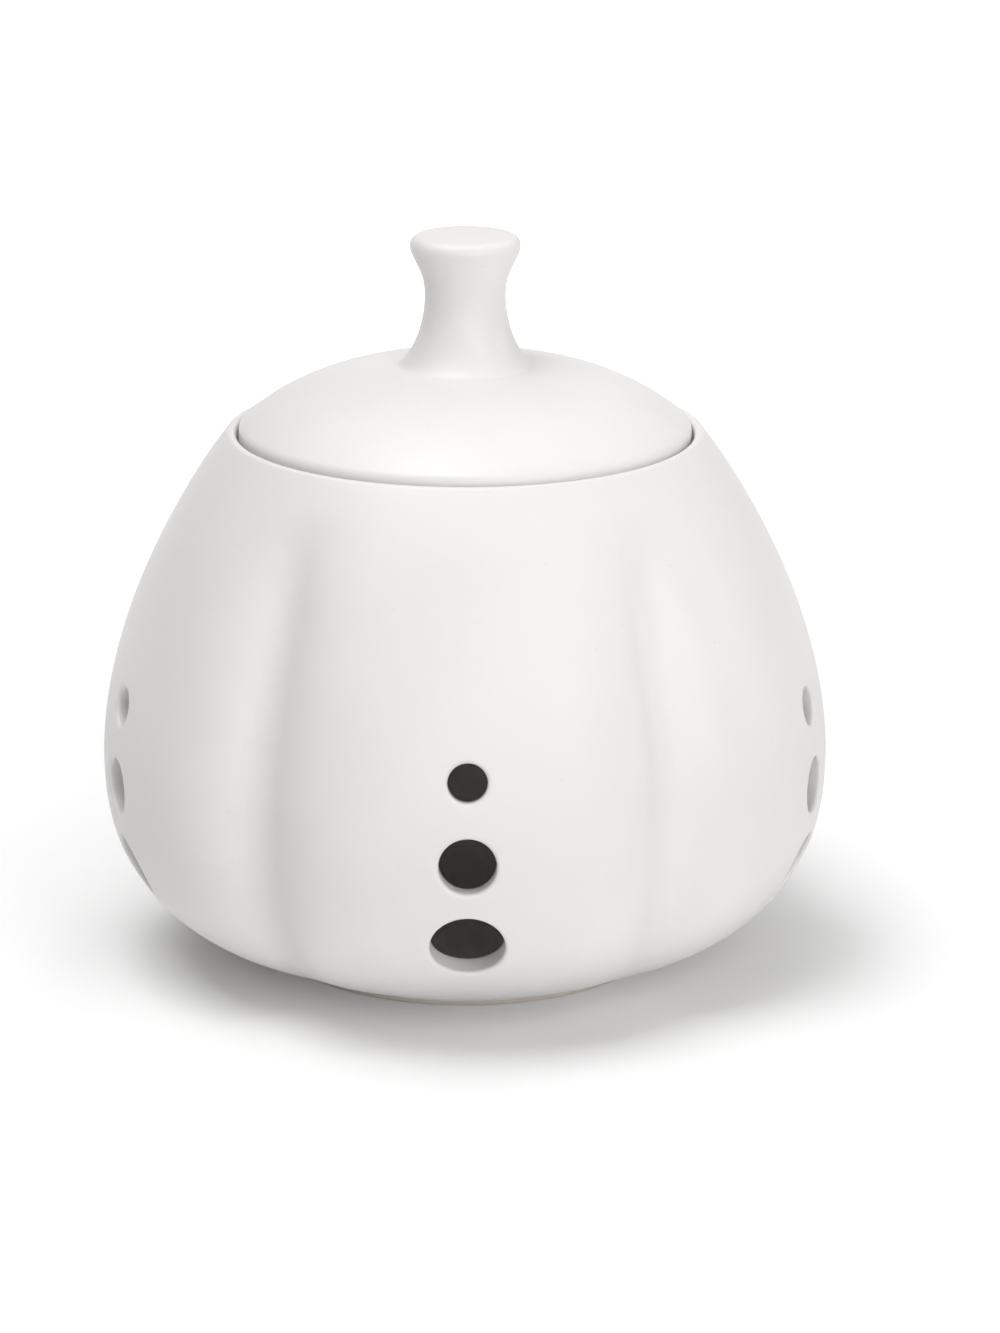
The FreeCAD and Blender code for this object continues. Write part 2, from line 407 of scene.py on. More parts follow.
class PotTrees:
    """The Geometry Nodes trees that grow the pot's wall, its vents and its turned bands."""

    def __init__(self) -> None:
        """Build the trees in the order in which they use one another."""
        self.wall = self.wall_tree()
        self.pattern = self.pattern_tree()
        self.sleeve = self.sleeve_tree()
        self.turned = turned_profile_tree()
        self.pot = self.pot_tree()
        self.lid = self.lid_tree()

    def wall_tree(self) -> Bench:
        """Point on the pot's wall at an angle from a lobe's middle and at a height.

        Returns:
            A tree with the point's position and the slope of the wall there. An inset of 0 is
            the outside and 1 is the inside.
        """
        inputs = {"Angle": "Float", "Height": "Float", "Inset": "Float", **WALL_SIZES}
        outputs = {"Position": "Vector", "Slope": "Float"}
        bench = Bench.group("Lobed wall", "GeometryNodeTree", inputs, outputs)
        g = bench.given
        belly = g["Belly Height"]
        below = bench.math("MAXIMUM", belly - g["Height"], 0.0)
        above = bench.math("MAXIMUM", g["Height"] - belly, 0.0)
        parts = []
        ends = (
            (below, belly - g["Foot Height"], "Under"),
            (above, g["Lip Height"] - belly, "Shoulder"),
        )
        for distance, span, end in ends:
            narrowing = g[f"{end} Radius"] / g["Belly Radius"]
            along, across = g[f"{end} Along"], g[f"{end} Across"]
            reach = span / (1.0 - narrowing**across) ** (1.0 / along)
            share = distance / reach
            left = 1.0 - share**along
            steepness = along * share ** (along - 1.0) / (across * left * reach)
            parts.append((left ** (1.0 / across), steepness))
        radius = g["Belly Radius"] * parts[0][0] * parts[1][0]
        slope = radius * (parts[0][1] - parts[1][1])
        stretch = bench.math("SQRT", slope * slope + 1.0)
        low = below / (belly - g["Foot Height"])
        high = bench.math("MINIMUM", above / (g["Groove Top"] - belly), 1.0)
        fade = (1.0 - high ** g["Groove Rise"]) ** g["Groove Fade"]
        groove = g["Groove Depth"] * (1.0 - low * low) * fade
        groove = groove * self.groove_share(bench)
        inset = g["Inset"] * g["Wall"] / stretch
        r = radius - inset - groove
        x = r * bench.math("SINE", g["Angle"])
        y = 0.0 - r * bench.math("COSINE", g["Angle"])
        bench.finish({"Position": bench.vector(x, y, g["Height"] + inset * slope), "Slope": slope})
        return bench

    def groove_share(self, bench: Bench) -> Value:
        """Share of the groove's depth at an angle: 0 on a lobe's middle and 1 in the valley.

        Args:
            bench: The tree of the wall.

        Returns:
            The share.
        """
        g = bench.given
        a = bench.math("ABSOLUTE", g["Angle"]) * g["Lobes"] / math.pi
        start = 1.0 - g["Valley Share"]
        rise = start ** g["Lobe Flatness"]
        steep = g["Lobe Flatness"] * start ** (g["Lobe Flatness"] - 1.0) * g["Valley Share"]
        t = bench.math("MAXIMUM", a - start, 0.0) / g["Valley Share"]
        flank = bench.math("MINIMUM", a, start) ** g["Lobe Flatness"]
        return (flank + steep * (t - t * t / 2.0)) / (rise + steep / 2.0)

    def pattern_tree(self) -> Bench:
        """Angle and height of a place in the wall's pattern of columns and rows.

        Returns:
            A tree that turns a column, counted from a lobe's middle, and a row, counted from
            the foot, into an angle and a height.
        """
        inputs = {"Column": "Float", "Row": "Float", **PATTERN_SIZES}
        outputs = {"Angle": "Float", "Height": "Float"}
        bench = Bench.group("Wall pattern", "GeometryNodeTree", inputs, outputs)
        g = bench.given
        half = math.pi / g["Lobes"]
        window = g["Window Columns"] / 2.0
        column = bench.math("ABSOLUTE", g["Column"])
        inner = bench.math("MINIMUM", column, window) / window
        outer = bench.math("MAXIMUM", column - window, 0.0) / (g["Columns"] / 2.0 - window)
        crowded = 1.0 - (1.0 - bench.math("MINIMUM", outer, 1.0)) ** g["Crowding"]
        angle = g["Window Angle"] * inner + (half - g["Window Angle"]) * crowded
        angle = angle * bench.math("SIGN", g["Column"])
        zones = ("Under Rows", *VENT_ROWS.values(), "Shoulder Rows")
        webs = ("Window Bottom", "Lower Web", "Upper Web", "Window Top")
        heights = ("Foot Height", *webs, "Top Height")
        height = g["Foot Height"] + 0.0
        start = g["Under Rows"] * 0.0
        for name, low, high in zip(zones, heights, heights[1:]):
            share = bench.clamp((g["Row"] - start) / g[name], 0.0, 1.0)
            if name == "Under Rows":
                share = share**UNDER_EASE
            height = height + (g[high] - g[low]) * share
            start = start + g[name]
        bench.finish({"Angle": angle, "Height": height})
        return bench

    def sleeve_tree(self) -> Bench:
        """A vent: the wall from its window's edge, over a rounded rim and through the bore.

        Returns:
            A tree that makes one vent of the lobe that faces -Y.
        """
        inputs = {**VENT_SIZES, **WALL_SIZES, **PATTERN_SIZES}
        bench = Bench.group("Vent sleeve", "GeometryNodeTree", inputs, {"Mesh": "Geometry"})
        g = bench.given
        last = (g["Blend Rows"] + g["Round Rows"]) * 2.0 + 1.0
        mesh = bench.grid(g["Around"], last)
        x, y, _ = bench.where()
        i = bench.math("ROUND", x + g["Around"] / 2.0)
        j = bench.math("ROUND", y + last / 2.0)
        side = bench.math("GREATER_THAN", j, last / 2.0)
        step = j + side * (last - j * 2.0)
        edge = self.window_edge(bench, i, side)
        wall = {**{name: g[name] for name in WALL_SIZES}, "Inset": side}
        centre = bench.place(self.wall, {**wall, "Angle": 0.0, "Height": g["Centre Height"]})
        slope = centre["Slope"]
        stretch = bench.math("SQRT", slope * slope + 1.0)
        upwards = bench.vector(0.0, 0.0 - slope / stretch, 1.0 / stretch)
        outwards = bench.vector(0.0, -1.0 / stretch, 0.0 - slope / stretch)
        reach = bench.vector_math("SUBTRACT", edge, centre["Position"])
        edge_across = bench.parts(edge)[0]
        edge_up = bench.vector_math("DOT_PRODUCT", reach, upwards)
        turn = bench.math("ARCTAN2", edge_up, edge_across)
        share = bench.clamp(step / g["Blend Rows"], 0.0, 1.0)
        bend = bench.clamp((step - g["Blend Rows"]) / g["Round Rows"], 0.0, 1.0) * (math.pi / 2)
        ring = g["Vent Radius"] + g["Vent Round"] * (1.0 - bench.math("SINE", bend))
        across = bench.mix(edge_across, ring * bench.math("COSINE", turn), share)
        up = bench.mix(edge_up, ring * bench.math("SINE", turn), share)
        point = self.on_wall(bench, wall, centre, upwards, (across, up))
        sink = g["Vent Round"] * (1.0 - bench.math("COSINE", bend)) * (side * 2.0 - 1.0)
        point = bench.vector_math("ADD", point, bench.vector_math("SCALE", outwards, sink))
        inside = bench.math("MINIMUM", step, 1.0)
        shift = bench.vector_math("SCALE", bench.vector_math("SUBTRACT", point, edge), inside)
        mesh = bench.marked(mesh, "rim", share**RIM_SPREAD)
        bench.finish({"Mesh": bench.moved(mesh, bench.vector_math("ADD", edge, shift))})
        return bench

    def window_edge(self, bench: Bench, i: Value, side: Value) -> Value:
        """Point on the edge of a vent's window, i steps round it from its lower left corner.

        Args:
            bench: The tree of the vent.
            i: Steps round the window, anticlockwise as seen from outside.
            side: 0 on the wall's outside and 1 on its inside.

        Returns:
            The point's position.
        """
        g = bench.given
        across, along = g["Window Columns"], g["Rows"]
        right = bench.clamp(i, 0.0, across)
        left = bench.clamp(i - across - along, 0.0, across)
        up = bench.clamp(i - across, 0.0, along)
        down = bench.clamp(i - across * 2.0 - along, 0.0, along)
        place = {"Column": right - left - across / 2.0, "Row": g["First Row"] + up - down}
        spot = bench.place(self.pattern, {**{n: g[n] for n in PATTERN_SIZES}, **place})
        sizes = {name: g[name] for name in WALL_SIZES}
        return bench.place(self.wall, {**sizes, **spot, "Inset": side})["Position"]

    def on_wall(
        self,
        bench: Bench,
        wall: dict[str, Value],
        centre: dict[str, Value],
        upwards: Value,
        offset: tuple[Value, Value],
    ) -> Value:
        """Point of the wall that lies at an offset from a vent's middle, seen along its bore.

        Args:
            bench: The tree of the vent.
            wall: The wall's sizes and inset.
            centre: Position and slope of the wall at the vent's middle.
            upwards: The direction up along the wall there.
            offset: How far across and how far up the point lies.

        Returns:
            The point's position, found in a few steps.
        """
        across, up = offset
        slope = centre["Slope"]
        stretch = bench.math("SQRT", slope * slope + 1.0)
        _, depth, _ = bench.parts(centre["Position"])
        angle = across / (0.0 - depth)
        height = bench.given["Centre Height"] + up / stretch
        for _ in range(SOLVER_STEPS):
            spot = bench.place(self.wall, {**wall, "Angle": angle, "Height": height})
            x, y, _ = bench.parts(spot["Position"])
            reach = bench.vector_math("SUBTRACT", spot["Position"], centre["Position"])
            miss = bench.vector_math("DOT_PRODUCT", reach, upwards) - up
            angle = angle + (across - x) / (0.0 - y)
            height = height - miss * stretch / (spot["Slope"] * slope + 1.0)
        return bench.place(self.wall, {**wall, "Angle": angle, "Height": height})["Position"]

    def pot_tree(self) -> Bench:
        """The whole pot, grown from the line of its foot and its mouth.

        Returns:
            A tree that makes one lobe and repeats it round the axis.
        """
        heights = "Inner Top, Floor Height, Neck Radius, Neck Height, Vent Round"
        inputs = {"Profiles": "Geometry", **WALL_SIZES, **PATTERN_SIZES}
        inputs |= inputs_of("Float", heights) | inputs_of("Int", "Floor Rows, Neck Rows")
        for vent in VENT_ROWS:
            inputs |= inputs_of("Float", f"{vent} Vent Radius, {vent} Vent Height")
        inputs |= {"Material": "Material"}
        bench = Bench.group("Lobed pot", "GeometryNodeTree", inputs, {"Mesh": "Geometry"})
        g = bench.given
        rows = g["Under Rows"] + g["Lower Rows"] + g["Middle Rows"] + g["Upper Rows"]
        outer = self.windowed_wall(bench, rows, g["Lip Height"], 0.0)
        inner = self.windowed_wall(bench, rows, g["Inner Top"], 1.0)
        inner = bench.use("GeometryNodeFlipFaces", {"Mesh": inner})
        meshes = [outer, inner, *self.vents(bench)]
        column = bench.where()[0]
        sizes = {name: g[name] for name in PATTERN_SIZES}
        angle = bench.place(self.pattern, {**sizes, "Column": column, "Row": 0.0})["Angle"]
        for band in Band:
            near = bench.math("COMPARE", bench.stored("band"), band.value, 0.5)
            chosen = {"Geometry": g["Profiles"], "Selection": near}
            line = bench.use("GeometryNodeSeparateGeometry", chosen, domain="POINT")
            values = {"Profile": line, "Columns": g["Columns"], "Angle": angle}
            meshes.append(bench.place(self.turned, values)["Mesh"])
        meshes += [self.neck(bench, angle), self.floor(bench, angle)]
        lobe = bench.welded(bench.joined(meshes))
        count = g["Lobes"]
        spots = bench.use("GeometryNodePoints", {"Count": count})
        index = Value(bench, bench.node("GeometryNodeInputIndex").outputs[0])
        turn = bench.vector(0.0, 0.0, index * (2 * math.pi) / count)
        ring = {"Points": spots, "Instance": lobe, "Rotation": turn}
        pot = bench.use("GeometryNodeInstanceOnPoints", ring)
        pot = bench.use("GeometryNodeRealizeInstances", {"Geometry": pot})
        pot = bench.use("GeometryNodeSetShadeSmooth", {"Geometry": bench.welded(pot)})
        dressed = {"Geometry": pot, "Material": g["Material"]}
        bench.finish({"Mesh": bench.use("GeometryNodeSetMaterial", dressed)})
        return bench

    def windowed_wall(self, bench: Bench, vent_end: Value, top: Value, inset: float) -> Value:
        """One side of a lobe's wall, with a window cut out for the vents.

        Args:
            bench: The tree of the pot.
            vent_end: The row at which the window ends.
            top: The height at which this side ends.
            inset: 0 for the outside and 1 for the inside.

        Returns:
            The mesh, facing outwards.
        """
        g = bench.given
        rows = vent_end + g["Shoulder Rows"]
        mesh = bench.grid(g["Columns"], rows)
        x, y, _ = bench.where()
        row = y + rows / 2.0
        in_columns = bench.math("LESS_THAN", bench.math("ABSOLUTE", x), g["Window Columns"] / 2.0)
        in_rows = bench.math("GREATER_THAN", row, g["Under Rows"] + 0.0)
        in_rows = in_rows * bench.math("LESS_THAN", row, vent_end)
        cut = {"Geometry": mesh, "Selection": in_columns * in_rows}
        mesh = bench.use("GeometryNodeDeleteGeometry", cut, domain="FACE")
        sizes = {name: g[name] for name in PATTERN_SIZES}
        sizes |= {"Column": x, "Row": bench.math("ROUND", row), "Top Height": top}
        spot = bench.place(self.pattern, sizes)
        wall = {name: g[name] for name in WALL_SIZES}
        place = bench.place(self.wall, {**wall, **spot, "Inset": inset})
        return bench.moved(mesh, place["Position"])

    def vents(self, bench: Bench) -> list[Value]:
        """The three vents of a lobe.

        Args:
            bench: The tree of the pot.

        Returns:
            Their meshes, from the lowest up.
        """
        g = bench.given
        sizes = {name: g[name] for name in (*WALL_SIZES, *PATTERN_SIZES)}
        sizes |= {"Blend Rows": VENT_BLEND_ROWS, "Round Rows": VENT_ROUND_ROWS}
        first = g["Under Rows"] + 0.0
        meshes = []
        for vent, rows in VENT_ROWS.items():
            around = (g["Window Columns"] + g[rows]) * 2.0
            own = {"First Row": first, "Rows": g[rows], "Vent Round": g["Vent Round"]}
            own |= {"Centre Height": g[f"{vent} Vent Height"]}
            own |= {"Vent Radius": g[f"{vent} Vent Radius"]}
            meshes.append(bench.place(self.sleeve, {**sizes, **own, "Around": around})["Mesh"])
            first = first + g[rows]
        return meshes

    def neck(self, bench: Bench, angle: Value) -> Value:
        """The slope inside the pot, from the ledge's underside out to the wall.

        Args:
            bench: The tree of the pot.
            angle: The angle of each column.

        Returns:
            The slope's mesh.
        """
        g = bench.given
        mesh = bench.grid(g["Columns"], g["Neck Rows"])
        share = bench.where()[1] / g["Neck Rows"] + 0.5
        wall = {name: g[name] for name in WALL_SIZES}
        wall |= {"Angle": angle, "Height": g["Inner Top"], "Inset": 1.0}
        end = bench.place(self.wall, wall)["Position"]
        x = g["Neck Radius"] * bench.math("SINE", angle)
        y = 0.0 - g["Neck Radius"] * bench.math("COSINE", angle)
        start = bench.vector(x, y, g["Neck Height"])
        way = bench.vector_math("SCALE", bench.vector_math("SUBTRACT", end, start), share)
        return bench.moved(mesh, bench.vector_math("ADD", start, way))

    def floor(self, bench: Bench, angle: Value) -> Value:
        """The pot's floor, from the foot of the inside wall to the middle.

        Args:
            bench: The tree of the pot.
            angle: The angle of each column.

        Returns:
            The floor's mesh.
        """
        g = bench.given
        mesh = bench.grid(g["Columns"], g["Floor Rows"])
        share = 0.5 - bench.where()[1] / g["Floor Rows"]
        wall = {name: g[name] for name in WALL_SIZES}
        wall |= {"Angle": angle, "Height": g["Foot Height"], "Inset": 1.0}
        x, y, z = bench.parts(bench.place(self.wall, wall)["Position"])
        height = bench.mix(g["Floor Height"] + 0.0, z, share**FLOOR_RISE)
        return bench.moved(mesh, bench.vector(x * share, y * share, height))

    def lid_tree(self) -> Bench:
        """A whole turned piece, closed all round.

        Returns:
            A tree that turns the piece's line once round the axis.
        """
        inputs = {"Profile": "Geometry", "Columns": "Int", "Material": "Material"}
        bench = Bench.group("Turned lid", "GeometryNodeTree", inputs, {"Mesh": "Geometry"})
        g = bench.given
        angle = bench.where()[0] * (2 * math.pi) / g["Columns"]
        values = {"Profile": g["Profile"], "Columns": g["Columns"], "Angle": angle}
        mesh = bench.welded(bench.place(self.turned, values)["Mesh"])
        mesh = bench.use("GeometryNodeRealizeInstances", {"Geometry": mesh})
        mesh = bench.use("GeometryNodeSetShadeSmooth", {"Geometry": mesh})
        dressed = {"Geometry": mesh, "Material": g["Material"]}
        bench.finish({"Mesh": bench.use("GeometryNodeSetMaterial", dressed)})
        return bench


def turned_profile_tree() -> Bench:
    """Surface turned from a line of points, with the corners rounded first.

    Returns:
        A tree. The line lies in the plane Y = 0 and each of its points may carry the radius of
        its rounding, as "round", and how much it stands out as an edge, as "rim".
    """
    inputs = {"Profile": "Geometry", "Columns": "Int", "Angle": "Float"}
    bench = Bench.group("Turned profile", "GeometryNodeTree", inputs, {"Mesh": "Geometry"})
    g = bench.given
    curve = bench.use("GeometryNodeMeshToCurve", {"Mesh": g["Profile"]})
    node = bench.node("GeometryNodeFilletCurve", mode="POLY")
    rounding = {"Curve": curve, "Count": PROFILE_ROUND_STEPS, "Radius": bench.stored("round")}
    for name, value in {**rounding, "Limit Radius": True}.items():
        bench.feed(node.inputs[name], value)
    kind = {"Curve": Value(bench, node.outputs[0])}
    line = bench.use("GeometryNodeCurveToPoints", kind, mode="EVALUATED")
    size = bench.node("GeometryNodeAttributeDomainSize", component="POINTCLOUD")
    bench.feed(size.inputs[0], line)
    last = Value(bench, size.outputs["Point Count"]) - 1.0
    mesh = bench.grid(g["Columns"], last)
    row = bench.math("ROUND", bench.where()[1] + last / 2.0)
    position = Value(bench, bench.node("GeometryNodeInputPosition").outputs[0])
    found = {"Geometry": line, "Value": position, "Index": row}
    r, _, z = bench.parts(bench.use("GeometryNodeSampleIndex", found, data_type="FLOAT_VECTOR"))
    for mark in ("rim", "bare"):
        found = {"Geometry": line, "Value": bench.stored(mark), "Index": row}
        value = bench.use("GeometryNodeSampleIndex", found, data_type="FLOAT")
        mesh = bench.marked(mesh, mark, value)
    x = r * bench.math("SINE", g["Angle"])
    y = 0.0 - r * bench.math("COSINE", g["Angle"])
    bench.finish({"Mesh": bench.moved(mesh, bench.vector(x, y, z))})
    return bench


class Band(Enum):
    """The two turned bands of the pot, by the number that marks their line."""

    FOOT = 1
    MOUTH = 2


@dataclass(frozen=True)
class ProfilePoint:
    """A point of a turned line, in millimetres.

    It may carry the radius of its rounding, how much it stands out as an edge, whether it is
    left unglazed, and the band of the pot that it belongs to.
    """

    r: float
    z: float
    round: float = 0.0
    rim: float = 0.0
    bare: float = 0.0
    band: int = 0


def profile_object(name: str, lines: list[list[ProfilePoint]]) -> bpy.types.Object:
    """An object whose mesh holds profile lines for a Geometry Nodes tree.

    Args:
        name: The object's name.
        lines: The lines, each a list of points in millimetres.

    Returns:
        The object, linked to the scene.
    """
    points = [point for line in lines for point in line]
    edges = []
    start = 0
    for line in lines:
        edges += [(start + k, start + k + 1) for k in range(len(line) - 1)]
        start += len(line)
    mesh = bpy.data.meshes.new(name)
    mesh.from_pydata([(p.r * MM, 0.0, p.z * MM) for p in points], edges, [])
    values = {
        "round": [p.round * MM for p in points],
        "rim": [p.rim for p in points],
        "bare": [p.bare for p in points],
        "band": [float(p.band) for p in points],
    }
    for label, numbers in values.items():
        layer = mesh.attributes.new(label, "FLOAT", "POINT")
        layer.data.foreach_set("value", numbers)
    piece = bpy.data.objects.new(name, mesh)
    bpy.context.scene.collection.objects.link(piece)
    return piece


def grown(piece: bpy.types.Object, bench: Bench, values: dict[str, object]) -> bpy.types.Object:
    """Run a Geometry Nodes tree on an object and keep the result as its plain mesh.

    Args:
        piece: The object that holds the tree's lines.
        bench: The tree.
        values: What its named inputs get.

    Returns:
        The same object, with no modifier left on it.
    """
    modifier = piece.modifiers.new(bench.tree.name, "NODES")
    modifier.node_group = bench.tree
    for item in bench.tree.interface.items_tree:
        if item.in_out == "INPUT" and item.name in values:
            modifier[item.identifier] = values[item.name]
    bpy.context.view_layer.update()
    evaluated = piece.evaluated_get(bpy.context.evaluated_depsgraph_get())
    mesh = bpy.data.meshes.new_from_object(evaluated)
    piece.modifiers.remove(modifier)
    mesh.materials.clear()
    mesh.materials.append(values["Material"])
    mesh.polygons.foreach_set("material_index", [0] * len(mesh.polygons))
    mesh.name = piece.name
    piece.data = mesh
    return piece


class GlazeTrees:
    """The shader node groups that the glaze of both pieces is mixed from."""

    def __init__(self) -> None:
        """Build the groups."""
        self.clouds = self.clouds_tree()
        self.edges = self.edges_tree()
        self.skin = self.skin_tree()

    def clouds_tree(self) -> Bench:
        """Where the glaze lies denser, and where a speck of the clay shows through it.

        Returns:
            A group with two masks, Clouds and Specks.
        """
        inputs = {"Position": "Vector"}
        inputs |= inputs_of("Float", "Cloud Size, Speck Size, Speck Spacing")
        outputs = inputs_of("Float", "Clouds, Specks")
        bench = Bench.group("Glaze clouds", "ShaderNodeTree", inputs, outputs)
        g = bench.given
        cover = bench.noise(g["Position"], g["Cloud Size"], detail=3.0)
        clouds = bench.smooth(cover, *CLOUD_LIMITS)
        scatter = {"Vector": g["Position"], "Scale": 1.0 / g["Speck Spacing"]}
        distance = bench.use("ShaderNodeTexVoronoi", scatter) * g["Speck Spacing"]
        specks = 1.0 - bench.smooth(distance, 0.0, g["Speck Size"])
        bench.finish({"Clouds": clouds, "Specks": specks})
        return bench

    def edges_tree(self) -> Bench:
        """Where the glaze drew back from an edge, and where there is none.

        Returns:
            A group with two masks, Thin and Unglazed, whose borders wander a little.
        """
        inputs = {"Position": "Vector", **inputs_of("Float", "Rim, Bare, Wander Size")}
        outputs = inputs_of("Float", "Thin, Unglazed")
        bench = Bench.group("Glaze edges", "ShaderNodeTree", inputs, outputs)
        g = bench.given
        wander = bench.noise(g["Position"], g["Wander Size"], detail=2.0) - 0.5
        thin = bench.smooth(g["Rim"] + wander * THIN_WANDER, *THIN_LIMITS)
        unglazed = bench.smooth(g["Bare"] + wander * BARE_WANDER, *BARE_LIMITS)
        bench.finish({"Thin": thin, "Unglazed": unglazed})
        return bench

    def skin_tree(self) -> Bench:
        """The slight relief of the fired surface, in millimetres.

        Returns:
            A group with one value, Height.
        """
        sizes = "Ripple Size, Ripple, Grain Size, Grain, Specks, Pit"
        inputs = {"Position": "Vector", **inputs_of("Float", sizes)}
        bench = Bench.group("Glaze skin", "ShaderNodeTree", inputs, {"Height": "Float"})
        g = bench.given
        ripple = bench.noise(g["Position"], g["Ripple Size"], detail=1.0) * g["Ripple"]
        grain = bench.noise(g["Position"], g["Grain Size"], detail=2.0) * g["Grain"]
        bench.finish({"Height": ripple + grain - g["Specks"] * g["Pit"]})
        return bench


@dataclass(frozen=True)
class CeramicFinish:
    """A pale matte glaze over a ceramic body. Its sizes are in millimetres."""

    name: str
    shift: tuple[float, float, float] = (0.0, 0.0, 0.0)
    glaze: Colour = (0.830, 0.815, 0.801)
    dense_glaze: Colour = (0.812, 0.797, 0.782)
    thin_glaze: Colour = (0.812, 0.795, 0.778)
    clay: Colour = (0.68, 0.63, 0.565)
    roughness: float = 0.46
    dense_gloss: float = 0.07
    clay_roughness: float = 0.86
    cloud_size: float = 19.0
    speck_size: float = 0.34
    speck_spacing: float = 4.6
    speck_share: float = 0.5
    wander_size: float = 2.4
    ripple_size: float = 6.5
    ripple: float = 0.022
    grain_size: float = 0.75
    grain: float = 0.0035
    pit: float = 0.012

    def material(self, trees: GlazeTrees) -> bpy.types.Material:
        """Build the finish.

        Args:
            trees: The shared node groups.

        Returns:
            The material.
        """
        material = bpy.data.materials.new(self.name)
        material.use_nodes = True
        bench = Bench(material.node_tree)
        place = Value(bench, bench.node("ShaderNodeTexCoord").outputs["Object"])
        place = bench.vector_math("ADD", place, self.shift)
        sizes = {
            "Position": place,
            "Cloud Size": self.cloud_size * MM,
            "Speck Size": self.speck_size * MM,
            "Speck Spacing": self.speck_spacing * MM,
            "Wander Size": self.wander_size * MM,
            "Ripple Size": self.ripple_size * MM,
            "Ripple": self.ripple,
            "Grain Size": self.grain_size * MM,
            "Grain": self.grain,
            "Pit": self.pit,
            "Rim": self.stored(bench, "rim"),
            "Bare": self.stored(bench, "bare"),
        }
        marks = bench.place(trees.clouds, sizes)
        marks |= bench.place(trees.edges, sizes)
        relief = bench.place(trees.skin, {**sizes, "Specks": marks["Specks"]})
        colour = bench.blended(marks["Clouds"], (*self.glaze, 1.0), (*self.dense_glaze, 1.0))
        colour = bench.blended(marks["Thin"], colour, (*self.thin_glaze, 1.0))
        shown = bench.math("MAXIMUM", marks["Specks"] * self.speck_share, marks["Unglazed"])
        colour = bench.blended(shown, colour, (*self.clay, 1.0))
        roughness = self.roughness - marks["Clouds"] * self.dense_gloss
        roughness = bench.mix(roughness, self.clay_roughness, marks["Unglazed"])
        shader = material.node_tree.nodes["Principled BSDF"]
        bench.feed(shader.inputs["Base Color"], colour)
        bench.feed(shader.inputs["Roughness"], roughness)
        bump = bench.node("ShaderNodeBump")
        bump.inputs["Distance"].default_value = MM
        bench.feed(bump.inputs["Height"], relief["Height"])
        bench.feed(shader.inputs["Normal"], Value(bench, bump.outputs["Normal"]))
        return material

    def stored(self, bench: Bench, name: str) -> Value:
        """A number stored on the mesh's points, for the material to read."""
        node = bench.node("ShaderNodeAttribute", attribute_name=name)
        return Value(bench, node.outputs["Fac"])


@dataclass(frozen=True)
class Vent:
    """A round hole through the wall, in millimetres, and the rows of its window."""

    name: str
    radius: float
    height: float
    rows: int
    window_top: float


